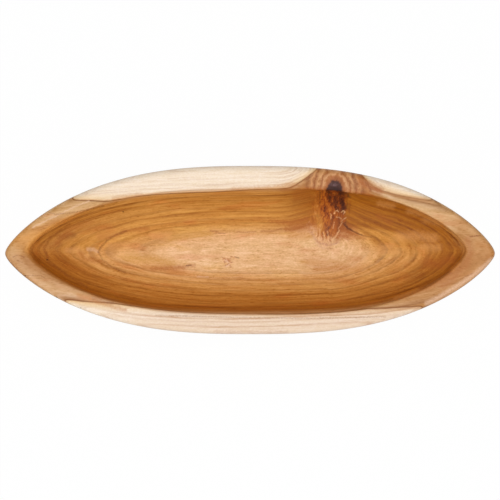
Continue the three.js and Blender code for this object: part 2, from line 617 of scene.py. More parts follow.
class Paint(Output):
    """A colour that varies over the surface."""

    shading_powers: tuple[float, float, float] = (0.7, 1.1, 2.0)
    darkest: float = 0.05

    def toward(self, other: "Paint | Colour", share: Field) -> "Paint":
        """Blends another colour in.

        Args:
            other: The other colour.
            share: How much of it, from 0 to 1.

        Returns:
            The blend.
        """
        node = self.node("ShaderNodeMix", data_type="RGBA")
        connect(node.inputs[0], share)
        # The Mix node numbers its colours after the sockets that it has for numbers and vectors
        connect(node.inputs[6], self)
        connect(node.inputs[7], other.linear if isinstance(other, Colour) else other)
        return Paint(node.outputs[2])

    def shaded(self, factor: Field) -> "Paint":
        """Lightens or darkens the colour as wood does, where a darker tone is also redder.

        Red, green and blue are scaled by the factor to a power each, the least for red.

        Args:
            factor: 1 leaves the colour, less darkens it and more lightens it.

        Returns:
            The shaded colour.
        """
        light = factor.maximum(self.darkest)
        scale = Place.at(*(light.math("POWER", power) for power in self.shading_powers))
        return Paint(Place(self.socket).vector_math("MULTIPLY", scale).outputs[0])


def way_along(value: np.ndarray, start: float, end: float) -> np.ndarray:
    """Share of the way from a start to an end that each value has come, from 0 to 1."""
    return np.clip((value - start) / (end - start), 0, 1)


@dataclass(frozen=True)
class Log:
    """How the log lay around the bowl, in millimetres. Its pith ran along X below the foot."""

    pith_y: float = -2.0
    pith_z: float = -18.0
    branch_start: tuple[float, float, float] = (82.0, -2.0, -18.0)
    branch_end: tuple[float, float, float] = (87.0, 68.0, 58.0)
    branch_swelling: float = 22.0
    branch_swelling_reach: float = 60.0
    branch_spread: float = 33.3
    branch_thickness: float = 10.0
    left_spread_exponent: float = 2.4
    right_spread_exponent: float = 1.5
    front_sapwood: float = 99.0
    front_slope: float = 0.004
    front_dip: float = 3.0
    front_dip_x: float = -70.0
    front_dip_width: float = 70.0
    back_sapwood: float = 100.3
    back_dip: float = 8.3
    back_dip_x: float = -45.0
    back_dip_left: float = 88.0
    back_dip_right: float = 55.0
    back_dip_radii: Span = (60.0, 95.0)
    side_change_y: float = 12.0
    left_tip_rise: float = 2.4
    left_tip_front_share: float = 0.4
    left_tip_reach: Span = (150.0, 185.0)
    right_tip_rise: float = 2.6
    right_tip_back_loss: float = 0.53
    right_tip_reach: Span = (120.0, 180.0)
    beside_branch_rise: float = 3.0
    beside_branch_x: float = 113.0
    beside_branch_width: float = 10.0

    def along_branch(self, points: np.ndarray) -> np.ndarray:
        """Place seen from the branch.

        Args:
            points: Points of the bowl, one in a row, in millimetres.

        Returns:
            Rows of the distance along the branch from the pith, the offset from its axis toward +X, and
            the offset across it.
        """
        start = np.array(self.branch_start)
        axis = np.array(self.branch_end) - start
        axis /= np.linalg.norm(axis)
        side = np.array([1.0, 0.0, 0.0]) - axis[0] * axis
        side /= np.linalg.norm(side)
        offset = points - start
        return np.stack([offset @ axis, offset @ side, offset @ np.cross(axis, side)], axis=1)

    def in_log(self, points: np.ndarray) -> np.ndarray:
        """Place in the log as it would be without the branch.

        The branch pushes the rings outward. The push grows with the radius r as A(1 - e^(-r/reach)) and
        falls away from the branch as e^(-(d/spread)^p), with a power p for each side of the branch. The
        distance d leaves out the branch's own thickness across the log.

        Args:
            points: Points of the bowl, one in a row, in millimetres.

        Returns:
            Rows of x, and of y and z measured from the pith with the push taken back.
        """
        _, sideways, across = self.along_branch(points).T
        y = points[:, 1] - self.pith_y
        z = points[:, 2] - self.pith_z
        radius = np.hypot(y, z)
        power = np.where(sideways < 0, self.left_spread_exponent, self.right_spread_exponent)
        distance = np.hypot(sideways, np.maximum(np.abs(across) - self.branch_thickness, 0))
        nearness = np.exp(-((distance / self.branch_spread) ** power))
        push = self.branch_swelling * (1 - np.exp(-radius / self.branch_swelling_reach)) * nearness
        share = np.maximum(radius - push, 0) / radius
        return np.stack([points[:, 0], y * share, z * share], axis=1)

    def past_sapwood_line(self, points: np.ndarray) -> np.ndarray:
        """How far out each point lies from the line between heartwood and sapwood.

        On each side the line dips toward the pith in a bell curve along X, and on the front it also rises
        a little toward the right tip. The back's dip sets in between two radii by a smooth step. Close to
        the tips the line moves outward, most at the back left and the front right, and a bell curve moves
        it outward on the back just to the right of the branch.

        Args:
            points: Points of the bowl, one in a row, in millimetres.

        Returns:
            The distance for each point, negative in the heartwood.
        """
        x, y, z = self.in_log(points).T
        radius = np.hypot(y, z)
        width = np.where(x < self.back_dip_x, self.back_dip_left, self.back_dip_right)
        deep = way_along(radius, *self.back_dip_radii)
        dip = self.back_dip * np.exp(-(((x - self.back_dip_x) / width) ** 2)) * deep**2 * (3 - 2 * deep)
        back = self.back_sapwood - dip
        front = self.front_sapwood + self.front_slope * np.maximum(x, 0)
        front -= self.front_dip * np.exp(-(((x - self.front_dip_x) / self.front_dip_width) ** 2))
        to_back = way_along(y, -self.side_change_y, self.side_change_y)
        left_share = self.left_tip_front_share + (1 - self.left_tip_front_share) * to_back
        right_share = 1 - self.right_tip_back_loss * to_back
        rise = self.left_tip_rise * left_share * way_along(-x, *self.left_tip_reach)
        rise += self.right_tip_rise * right_share * way_along(x, *self.right_tip_reach)
        beside_branch = np.exp(-(((x - self.beside_branch_x) / self.beside_branch_width) ** 2))
        rise += self.beside_branch_rise * beside_branch * to_back
        return radius - front - (back - front) * to_back - rise


@dataclass(frozen=True)
class Mark:
    """A line through points of the wood, as seen from above, in millimetres.

    It is a check, a streak, a curl, a broad patch or an insect's pinhole, and some are strips or spots of
    painted shade or painted highlight.
    Its colour fades out within the width on each side, and the strength is the share of that colour on the
    line itself.
    """

    points: tuple[tuple[float, float], ...]
    width: float
    strength: float = 1.0


@dataclass(frozen=True)
class Ring:
    """A growth ring: the radius where its late wood ends, how dark that is, and its fade inward."""

    radius: float
    darkness: float
    fade: float


@dataclass(frozen=True)
class Marks:
    """The marks that share one colour. They waver by an amount, and breaks from 0 to 1 interrupt them."""

    colour: Colour
    marks: tuple[Mark, ...]
    waver: float = 0.8
    breaks: float = 0.0
    waver_size: float = 2.5
    break_size: float = 1.6
    break_softness: float = 0.25

    def over(self, paint: Paint, above: Place, mask: Field) -> Paint:
        """Draws the marks over a colour.

        Args:
            paint: Colour to draw on.
            above: Place seen from above, in millimetres.
            mask: 1 where marks may show and 0 elsewhere.

        Returns:
            The colour with the marks.
        """
        place = above.wobble(self.waver_size, self.waver)
        gaps = above.noise(self.break_size, detail=1.0).rise(self.break_softness, -self.break_softness)
        mask = mask * (1.0 - gaps * self.breaks)
        shown: Field | None = None
        for mark in self.marks:
            for start, end in zip(mark.points, mark.points[1:]):
                near = place.near(start, end, mark.width, mark.strength)
                shown = near if shown is None else shown.maximum(near)
        return paint.toward(self.colour, shown * mask)


# Cracks at the foot of the knot and two short ones on the bed
CHECKS = Marks(Colour(98, 44, 12), (
    Mark(((99, 27.8), (102.5, 24), (108.5, 20.4)), 1.6, 0.9),
    Mark(((108.5, 20.4), (113, 18), (118.5, 15.8)), 1.2, 0.75),
    Mark(((118.5, 15.8), (128, 13.6)), 0.9, 0.4),
    Mark(((-15.5, -7.5), (-12, -8.3)), 1, 0.5),
    Mark(((-68, -16.5), (-62.5, -16)), 1.2, 0.65),
), waver=0.5)
# Thin streaks on the bed
BED_STREAKS = Marks(Colour(168, 98, 52), (
    Mark(((-42, 20.5), (-34, 20)), 1.3, 0.85),
    Mark(((-37, 18.3), (-27, 18)), 1.2, 0.7),
    Mark(((-14, 19.5), (-5, 19), (6, 19.6)), 1.5, 0.6),
    Mark(((12, 20), (24, 20.5), (34, 23)), 1.8, 0.6),
    Mark(((-56, -27), (-36, -29.5), (-8, -29)), 1.2, 0.45),
), waver=0.6, breaks=0.45)
# Insects' pinholes
PINHOLES = Marks(Colour(58, 24, 10), (
    Mark(((-198.4, -48.3), (-198, -48.3)), 1.25),
    Mark(((-229.5, -26.1), (-229.1, -26.1)), 1.15),
    Mark(((-209.5, -9.9), (-209.1, -9.9)), 1.2),
    Mark(((-132.5, 40.1), (-132.1, 40.1)), 1.1, 0.8),
    Mark(((-173.9, -59.1), (-173.5, -59.1)), 1, 0.5),
), waver=0)
# Single dark rings and streaks in the hollow and on the rim
STREAKS = Marks(Colour(134, 68, 22), (
    Mark(((-97, -67.2), (-5, -69.7), (52, -70.4), (139, -68.4)), 1.4, 0.4),
    Mark(((-159.5, -2), (-156.5, 4), (-150, 10.5), (-142, 15.5), (-130.5, 20)), 1.7, 0.7),
    Mark(((-159.5, -2), (-154.5, -10.5), (-145, -18), (-131.5, -23.5)), 1.7, 0.5),
    Mark(((-213, 2), (-205, 14.5), (-186, 27)), 2.2, 0.5),
    Mark(((-213, 2), (-207, -12), (-190, -25.5), (-168, -38)), 2.4, 0.6),
    Mark(((-241, -7), (-236, -5), (-230, -7)), 1, 0.75),
    Mark(((-237, -10.5), (-232, -12.5)), 1, 0.65),
    Mark(((-228.5, -26), (-214, -25.5), (-208, -29.5)), 0.8, 0.6),
    Mark(((224.5, 14), (234.5, 15)), 1.1, 0.85),
    Mark(((214.5, -29.5), (226.5, -23.5)), 1.1, 0.5),
    Mark(((-205, 38.5), (-198, 36.5), (-177, 39.3), (-151, 45.5)), 1.3, 0.55),
    Mark(((56, 72), (63, 76)), 1.6, 0.6),
    Mark(((101, 75), (107.5, 63.5)), 1.5, 0.5),
    Mark(((106.5, 78), (111.5, 65.5)), 1.8, 0.6),
    Mark(((115.5, 76), (124.5, 61.5)), 2.4, 0.6),
), breaks=0.6)
# Small burl on the bed
BURL = Marks(Colour(178, 84, 28), (
    Mark(((-29, -8), (-25, -10.5), (-20.5, -9)), 2, 0.85),
    Mark(((-27.5, -12.5), (-24, -11.5), (-20, -13)), 2, 0.9),
    Mark(((-26, -16), (-22.5, -15), (-20.5, -17.5)), 1.8, 0.8),
    Mark(((-20.5, -7), (-14, -8)), 1.5, 0.6),
), waver=2.2, breaks=0.6)
# Brown smears, mostly around the knot, and painted shade: the strip along the front's outer edge and the one
# along the right front lip
SMEARS_AND_EDGE_SHADE = Marks(Colour(168, 88, 30), (
    Mark(((-36, -84.2), (38, -84.8)), 3, 0.25),
    Mark(((38, 22.5), (47, 22), (57, 25.5)), 3.4, 0.65),
    Mark(((22, 31), (44, 29), (60, 33)), 4, 0.5),
    Mark(((97, 31), (104, 25.5), (112, 22.5)), 4, 0.6),
    Mark(((-134, 20), (-108, 23)), 4.5, 0.4),
    Mark(((-104, -20), (-80, -19), (-60, -16.5)), 3.6, 0.5),
    Mark(((134, 36), (147, 29)), 5, 0.35),
    Mark(((-200, 8), (-186, 22), (-165, 30)), 5, 0.4),
    Mark(((-178, -2), (-173, -9), (-158, -11.5)), 5, 0.5),
    Mark(((42, 26.5), (56, 26), (67, 28)), 5, 0.6),
    Mark(((88, 29), (91, 22), (93, 13)), 7, 0.9),
    Mark(((95, 25), (103, 18.5), (112, 17)), 7, 0.8),
    Mark(((94, 16), (104, 14)), 5.5, 0.85),
    Mark(((106, 15), (120, 13.5)), 5, 0.45),
    Mark(((48, 22.5), (78, 22)), 6.5, 0.4),
    Mark(((114, 70), (122, 65.5), (134, 60.5)), 6, 0.75),
    Mark(((112, 76), (124, 69.5), (136, 64)), 4, 0.45),
    Mark(((46, 23.5), (62, 23.5)), 7, 0.65),
    Mark(((196, -36.5), (206, -30), (215, -19)), 6.5, 0.45),
    Mark(((34, 63), (50, 66)), 5, 0.35),
    Mark(((46, 60), (60, 63)), 6, 0.4),
    Mark(((58, 63.5), (76, 63.8)), 4, 0.5),
    Mark(((98, 62.5), (112, 60.5), (126, 56.5)), 4, 0.4),
    Mark(((48, 56), (60, 57.5)), 6, 0.3),
    Mark(((92, 20), (97, 14)), 6, 0.5),
    Mark(((-168, 22), (-146, 24)), 6, 0.3),
    Mark(((222, 10), (224.5, -3), (220, -15)), 7, 0.45),
    Mark(((182, -14), (196, -15), (207, -9)), 8, 0.6),
), waver=2.5, breaks=0.2)
# Pale strips and spots of the wood, and painted highlights: the spot at the left end of the bed and the thin
# strip along the rim's crest at the back left
PALE_STREAKS_AND_HIGHLIGHTS = Marks(Colour(240, 198, 164), (
    Mark(((-170, 1), (-164.5, 0.5), (-161, -1.5)), 3.2, 0.42),
    Mark(((-25.5, -11), (-23.5, -13)), 1.8, 0.8),
    Mark(((-25, -17.5), (-22, -15.5)), 1.7, 0.8),
    Mark(((-56, -28), (-44, -28.5)), 1.2, 0.5),
    Mark(((-221.5, 23.5), (-178.3, 45), (-165, 50)), 1.4, 0.6),
    Mark(((246, -9.5), (231, -23), (215, -34.5), (197, -46), (181, -54.5)), 4.2, 0.7),
), waver=1, breaks=0.3)
# Golden patches
GOLD = Marks(Colour(208, 148, 62), (
    Mark(((-86, 13), (-72, 15), (-44, 17)), 8, 0.55),
    Mark(((72, 36), (76, 22)), 6, 0.5),
    Mark(((-130, -8), (-104, -9.5), (-84, -13.5)), 8, 0.65),
), waver=2.5, breaks=0.3)
# Patches a little darker than the wood around them, and painted shade: the strips along the back lip left of
# the knot, the front left lip and the right front lip, where the rim rounds into the hollow
DARKER_PATCHES_AND_LIP_SHADE = Marks(Colour(196, 124, 58), (
    Mark(((62, -13), (90, -15.5), (114, -20)), 12, 0.5),
    Mark(((70, -19), (102, -19)), 8, 0.7),
    Mark(((44, 15), (62, 15.5)), 8, 0.45),
    Mark(((-112, -18.5), (-72, -20)), 7, 0.5),
    Mark(((-18, 63.5), (5, 64.5)), 4, 0.35),
    Mark(((-140, 53.5), (-112, 57.5)), 4, 0.4),
    Mark(((232, 6), (244, 4)), 7, 0.4),
    Mark(((104, -9), (116, -9)), 7, 0.5),
    Mark(((60, -28), (108, -30)), 8, 0.3),
    Mark(((-158, 14), (-140, 16.5)), 6, 0.6),
    Mark(((5, 64.5), (25, 65), (45, 68.5)), 3.5, 0.5),
    Mark(((112, 73), (122, 62)), 6, 0.7),
    Mark(((150, -50), (186, -37), (200, -28), (213, -14)), 3.4, 0.8),
    Mark(((-176, -46), (-151, -55.5), (-128, -61.5)), 3.6, 0.55),
), waver=1.5, breaks=0.2)
# Dark patches, and painted shade in the strip along the right front lip
DARK_PATCHES_AND_LIP_SHADE = Marks(Colour(134, 68, 20), (
    Mark(((48, 52), (66, 54.5)), 9, 0.4),
    Mark(((176, -39), (190, -32.5), (204, -23)), 5, 0.55),
    Mark(((92, 28), (97, 24), (104, 22.5)), 8, 0.95),
    Mark(((163, -29), (178, -25.5)), 6, 0.35),
    Mark(((206, 6), (214, 4)), 6, 0.35),
    Mark(((-208, 4), (-200, 7)), 6, 0.35),
    Mark(((95, 41), (97.5, 30)), 6, 0.4),
    Mark(((-197, 13.5), (-185, 16)), 6.5, 0.5),
    Mark(((-160, -49.5), (-142, -54)), 4, 0.4),
), waver=1.8, breaks=0.25)
# Lighter patches, and painted light on the right end wall of the hollow, which faces away from the lamps
LIGHTER_PATCHES_AND_PAINTED_LIGHT = Marks(Colour(226, 160, 92), (
    Mark(((-148, 4.5), (-133, 6)), 6, 0.5),
    Mark(((138, 3), (148, 4)), 6, 0.5),
    Mark(((156, 14), (174, 14.5), (190, 12)), 9, 0.55),
    Mark(((180, 4), (195, 3)), 7, 0.5),
    Mark(((-190, 0), (-181, 1)), 5, 0.5),
    Mark(((181, 32), (195, 29)), 7, 0.35),
    Mark(((164, 40.5), (178, 37)), 5, 0.35),
    Mark(((134, 48.5), (148, 45.5)), 5, 0.35),
    Mark(((-103, 15), (-86, 15)), 6.5, 0.6),
    Mark(((138, -2.5), (153, -2)), 6, 0.5),
), waver=2, breaks=0.25)
# Nearly black streaks inside the knot
KNOT_STREAKS = Marks(Colour(52, 14, 6), (
    Mark(((72.5, 61), (73.5, 49)), 1.4, 0.6),
    Mark(((86, 49), (91.5, 44)), 3, 0.8),
    Mark(((89, 61.5), (91.5, 49)), 2.2, 0.8),
    Mark(((93.5, 58), (96, 52), (98, 44)), 4.6, 0.9),
    Mark(((84, 60), (84.5, 50)), 2, 0.5),
    Mark(((88.5, 59), (90, 48)), 2.8, 0.6),
    Mark(((99.5, 59), (104, 55)), 2, 0.7),
    Mark(((88, 37), (86, 26.5)), 1.5, 0.5),
    Mark(((94.5, 29.5), (92.5, 20)), 1.5, 0.5),
    Mark(((100.5, 29.5), (103, 23)), 2, 0.6),
    Mark(((80, 62.5), (82, 59.5)), 3),
    Mark(((91.5, 62.5), (93.5, 59)), 3.2),
), waver=1.4, breaks=0.4)
# Pale curls inside the knot and at its toe
KNOT_CURLS = Marks(Colour(240, 186, 130), (
    Mark(((85.5, 33), (85.5, 38)), 1, 0.8),
    Mark(((89, 38.5), (89.5, 41), (92, 42), (93.5, 40.5)), 0.9, 0.9),
    Mark(((96, 40), (98, 41.5), (100, 40), (98.5, 38.5)), 0.9, 0.85),
    Mark(((91, 35.5), (96, 33.5)), 1, 0.6),
    Mark(((96.5, 30.5), (101.5, 34.5)), 1, 0.5),
    Mark(((89, 29.5), (88, 23)), 1, 0.5),
    Mark(((93.5, 22), (97.5, 29.5)), 1, 0.5),
    Mark(((72.5, 11), (74, 18), (73.5, 23)), 1.4, 0.6),
    Mark(((80, 9.5), (78, 19)), 1.4, 0.8),
    Mark(((84, 11), (82, 20)), 1.3, 0.7),
    Mark(((86.5, 10.5), (91.5, 15), (94.5, 21)), 1.3, 0.8),
), waver=1.1, breaks=0.45)
# Soft outline around the knot's toe
KNOT_SMUDGE = Marks(Colour(196, 136, 104), (
    Mark(((66, 19), (69.5, 11.5), (75, 7), (85.5, 5.5), (94, 8.5)), 2.4, 0.75),
    Mark(((69, 7.5), (77, 2.5), (88, 1.5)), 1.8, 0.4),
), waver=1.8, breaks=0.45)


@dataclass(frozen=True)
class Grain:
    """The grain at each point: its growth ring, and the fibres and layers that ran through it."""

    place: Place
    x: Field
    to_back: Field
    ring_radius: Field
    fibre: Field
    layers: Field
    bands: Field
    hairs: Field
    speckle: Field
    unevenness: Field
    ring_stretch: ClassVar[float] = 6.0
    ring_waver_size: ClassVar[float] = 24.0
    ring_waver: ClassVar[float] = 2.4
    ring_ripple_size: ClassVar[float] = 5.0
    ring_ripple: ClassVar[float] = 1.1
    fibre_stretch: ClassVar[float] = 8.0
    fibre_size: ClassVar[float] = 2.0
    layers_along: ClassVar[float] = 30.0
    layers_around: ClassVar[float] = 12.0
    layer_size: ClassVar[float] = 1.7
    band_size: ClassVar[float] = 5.0
    hairs_along: ClassVar[float] = 60.0
    hair_size: ClassVar[float] = 1.1
    hair_levels: ClassVar[Span] = (0.05, 0.5)
    speckle_stretch: ClassVar[float] = 1.7
    speckle_size: ClassVar[float] = 1.2
    fading_stretch: ClassVar[float] = 5.0
    fading_size: ClassVar[float] = 9.0
    fading: ClassVar[float] = 1.5
    mean_strength: ClassVar[float] = 0.95
    side_change: ClassVar[float] = 9.0
    ring_end: ClassVar[float] = 0.7
    ring_range: ClassVar[tuple[float, float]] = (25.0, 120.0)

    @classmethod
    def of(cls, place: Place) -> "Grain":
        """Works the grain out.

        Rings are circles around the pith that waver and ripple along the log. Fibres are lumps of noise
        stretched along it. Layers, bands and hairs are noise that changes quickly across the rings and
        slowly along them, and speckle is noise in short flecks. The unevenness makes rings fade in places.

        Args:
            place: Place in the log, in millimetres from its pith.

        Returns:
            The grain there.
        """
        x, y, z = place.parts()
        radius = (y * y + z * z).math("SQRT")
        long_place = place.drawn_out(cls.ring_stretch)
        ring_radius = radius + long_place.noise(cls.ring_waver_size, detail=1.0) * cls.ring_waver
        ripple = long_place.noise(cls.ring_ripple_size, detail=2.0, roughness=0.6)
        ring_radius = ring_radius + ripple * cls.ring_ripple
        fibre = place.drawn_out(cls.fibre_stretch).noise(cls.fibre_size, detail=2.5, roughness=0.8)
        ring_place = Place.at(x * (1 / cls.layers_along), y * (1 / cls.layers_around), ring_radius)
        layers = ring_place.noise(cls.layer_size, detail=1.0, roughness=0.7)
        bands = ring_place.noise(cls.band_size, detail=2.0)
        hair_place = Place.at(x * (1 / cls.hairs_along), y * (1 / cls.layers_around), ring_radius)
        hairs = hair_place.noise(cls.hair_size, detail=1.5, roughness=0.75).rise(*cls.hair_levels)
        speckle = place.drawn_out(cls.speckle_stretch).noise(cls.speckle_size, detail=1.0)
        unevenness = place.drawn_out(cls.fading_stretch).noise(cls.fading_size, detail=2.0)
        unevenness = (unevenness * cls.fading + cls.mean_strength).maximum(0.0)
        to_back = y.rise(-cls.side_change, cls.side_change)
        return cls(place, x, to_back, ring_radius, fibre, layers, bands, hairs, speckle, unevenness)

    def late_wood(self, rings: tuple[Ring, ...]) -> Field:
        """Darkness of the late wood, which builds up over each ring's fade and ends sharply.

        Args:
            rings: The rings, from the pith outward.

        Returns:
            The darkness, from 0 between the rings to each ring's own at its radius.
        """
        innermost, outermost = self.ring_range
        levels = [(innermost, 0.0)]
        for ring in rings:
            levels.append((ring.radius - ring.fade, 0.0))
            levels.append((ring.radius, ring.darkness))
            levels.append((ring.radius + self.ring_end, 0.0))
        return self.ring_radius.levels((*levels, (outermost, 0.0)))


@dataclass(frozen=True)
class Heartwood:
    """Golden brown heartwood. Its colours go by the radius of the ring, on the back and on the front."""

    back: tuple[tuple[float, Colour], ...] = (
        (30.0, Colour(236, 190, 138)),
        (36.0, Colour(228, 175, 120)),
        (42.0, Colour(216, 157, 90)),
        (48.0, Colour(205, 139, 59)),
        (62.0, Colour(202, 137, 57)),
        (72.0, Colour(205, 142, 65)),
        (80.0, Colour(198, 133, 56)),
        (90.0, Colour(204, 141, 67)),
        (97.0, Colour(215, 168, 114)),
    )
    front: tuple[tuple[float, Colour], ...] = (
        (30.0, Colour(236, 186, 134)),
        (36.0, Colour(238, 190, 137)),
        (46.0, Colour(228, 168, 103)),
        (58.0, Colour(213, 147, 74)),
        (66.0, Colour(197, 127, 51)),
        (78.0, Colour(186, 114, 40)),
        (87.0, Colour(162, 90, 18)),
        (92.0, Colour(168, 105, 44)),
        (97.0, Colour(212, 163, 112)),
    )
    late: Colour = Colour(120, 58, 6)
    end: Colour = Colour(168, 97, 22)
    left_band: Colour = Colour(222, 150, 70)
    right_rim: Colour = Colour(188, 128, 68)
    beside_knot: Colour = Colour(160, 91, 10)
    reddish: Colour = Colour(200, 104, 38)
    yellowish: Colour = Colour(228, 172, 84)
    rings: tuple[Ring, ...] = (
        Ring(42.0, 0.4, 3.0),
        Ring(49.0, 0.8, 2.5),
        Ring(54.5, 0.6, 2.5),
        Ring(61.3, 0.6, 2.5),
        Ring(67.5, 0.6, 3.0),
        Ring(78.0, 0.7, 3.5),
        Ring(84.8, 1.0, 3.5),
        Ring(100.2, 0.7, 3.2),
    )
    reddish_share: float = 0.3
    yellowish_share: float = 0.4
    end_share: float = 0.75
    left_band_share: float = 0.6
    beside_knot_share: float = 0.9
    right_rim_share: float = 0.65
    ring_contrast: float = 0.42
    right_contrast: float = 0.32
    left_contrast: float = 0.16
    most_late: float = 0.9
    outward_x: Span = (130.0, 180.0)
    outward_shift: float = 4.0
    patch_stretch: float = 4.0
    patch_size: float = 11.0
    reddish_patches: Span = (0.05, 0.45)
    yellowish_patches: Span = (-0.1, -0.5)
    yellowish_radii: Span = (62.0, 48.0)
    end_x: Span = (120.0, 195.0)
    end_radii: Span = (88.0, 85.0)
    back_left_end_x: Span = (-130.0, -180.0)
    back_left_end_loss: float = 0.5
    inner_end_x: Span = (-150.0, 60.0)
    inner_end_shift: float = 8.0
    inner_end_radii: Span = (57.0, 68.0)
    left_band_x: Span = (-160.0, -200.0)
    left_band_inner_radii: Span = (80.0, 86.0)
    left_band_outer_radii: Span = (96.0, 92.0)
    past_knot_from_x: float = 80.0
    past_knot_slope: float = 0.28
    past_knot_radii: Span = (14.5, 19.5)
    beside_knot_left_x: Span = (8.0, 78.0)
    beside_knot_right_x: Span = (225.0, 180.0)
    beside_knot_radii: Span = (99.0, 95.0)
    right_rim_x: Span = (110.0, 190.0)
    right_tip_x: Span = (200.0, 216.0)
    right_rim_radii: Span = (86.0, 90.0)
    right_contrast_x: Span = (100.0, 170.0)
    left_contrast_x: Span = (-100.0, -170.0)
    bed_radii: Span = (56.0, 40.0)
    bed_calming: float = 0.45
    bed_fibre: float = 0.1
    pore_stretch: float = 4.5
    pore_size: float = 1.3
    pore_levels: Span = (0.15, 0.5)
    fleck_stretch: float = 8.0
    fleck_size: float = 1.7
    fleck_levels: Span = (0.2, 0.55)
    layer_contrast: float = 0.5
    band_contrast: float = 0.34
    fibre_contrast: float = 0.27
    speckle_contrast: float = 0.11
    fleck_contrast: float = 0.12
    pore_contrast: float = 0.24
    lightness: float = 1.02

    def paint(self, grain: Grain) -> Paint:
        """Paints the heartwood.

        Each zone is made of smooth steps. The fields that end in _x are places along the bowl, and those
        that end in _radii are places across the rings. The wood is darker toward both ends of the hollow
        and beside the knot, and lighter or darker along the rims.

        Args:
            grain: The grain.

        Returns:
            The colour of the heartwood.
        """
        x, to_back = grain.x, grain.to_back
        radius = grain.ring_radius + x.rise(*self.outward_x) * to_back * self.outward_shift
        wood = radius.colours(self.front).toward(radius.colours(self.back), to_back)

        patches = grain.place.drawn_out(self.patch_stretch).noise(self.patch_size, detail=2.0)
        wood = wood.toward(self.reddish, patches.rise(*self.reddish_patches) * self.reddish_share)
        yellowish = patches.rise(*self.yellowish_patches) * radius.rise(*self.yellowish_radii)
        wood = wood.toward(self.yellowish, yellowish * self.yellowish_share)

        ends = x.math("ABSOLUTE").rise(*self.end_x) * radius.rise(*self.end_radii)
        ends = ends * (1.0 - x.rise(*self.back_left_end_x) * to_back * self.back_left_end_loss)
        inner_end = (radius - x.rise(*self.inner_end_x) * self.inner_end_shift).rise(*self.inner_end_radii)
        wood = wood.toward(self.end, ends * inner_end * self.end_share)
        left_band = x.rise(*self.left_band_x) * to_back * radius.rise(*self.left_band_inner_radii)
        left_band = left_band * radius.rise(*self.left_band_outer_radii)
        wood = wood.toward(self.left_band, left_band * self.left_band_share)

        past_knot = radius - x.maximum(self.past_knot_from_x) * self.past_knot_slope
        past_knot = past_knot.rise(*self.past_knot_radii)
        beside_knot = x.rise(*self.beside_knot_left_x) * x.rise(*self.beside_knot_right_x) * to_back
        beside_knot = beside_knot * past_knot * radius.rise(*self.beside_knot_radii)
        wood = wood.toward(self.beside_knot, beside_knot * self.beside_knot_share)
        right_rim = x.rise(*self.right_rim_x) * (1.0 - to_back)
        right_rim = right_rim.maximum(x.rise(*self.right_tip_x)) * radius.rise(*self.right_rim_radii)
        wood = wood.toward(self.right_rim, right_rim * self.right_rim_share)

        contrast = x.rise(*self.right_contrast_x) * self.right_contrast
        contrast = contrast + x.rise(*self.left_contrast_x) * self.left_contrast
        contrast = contrast + self.ring_contrast
        late = grain.late_wood(self.rings) * grain.unevenness * contrast
        wood = wood.toward(self.late, late.minimum(self.most_late))
        return wood.shaded(self._figure(grain))

    def _figure(self, grain: Grain) -> Field:
        """Light and dark of the fine figure, which is calmer and more speckled on the bed.

        Args:
            grain: The grain.

        Returns:
            The factor that the colour is shaded by: layers, fibres and flecks, less the open pores.
        """
        pores = grain.place.drawn_out(self.pore_stretch).noise(self.pore_size, detail=1.0)
        pores = pores.rise(*self.pore_levels)
        flecks = grain.place.drawn_out(self.fleck_stretch).noise(self.fleck_size, detail=1.0)
        flecks = flecks.rise(*self.fleck_levels)
        bed = grain.ring_radius.rise(*self.bed_radii)
        speckle = grain.speckle * (bed * self.speckle_contrast + self.speckle_contrast)
        layering = grain.layers * self.layer_contrast + grain.bands * self.band_contrast
        figure = layering * (1.0 - bed * self.bed_calming)
        figure = figure + grain.fibre * (bed * self.bed_fibre + self.fibre_contrast)
        figure = figure + flecks * self.fleck_contrast + speckle
        return figure - pores * self.pore_contrast + self.lightness


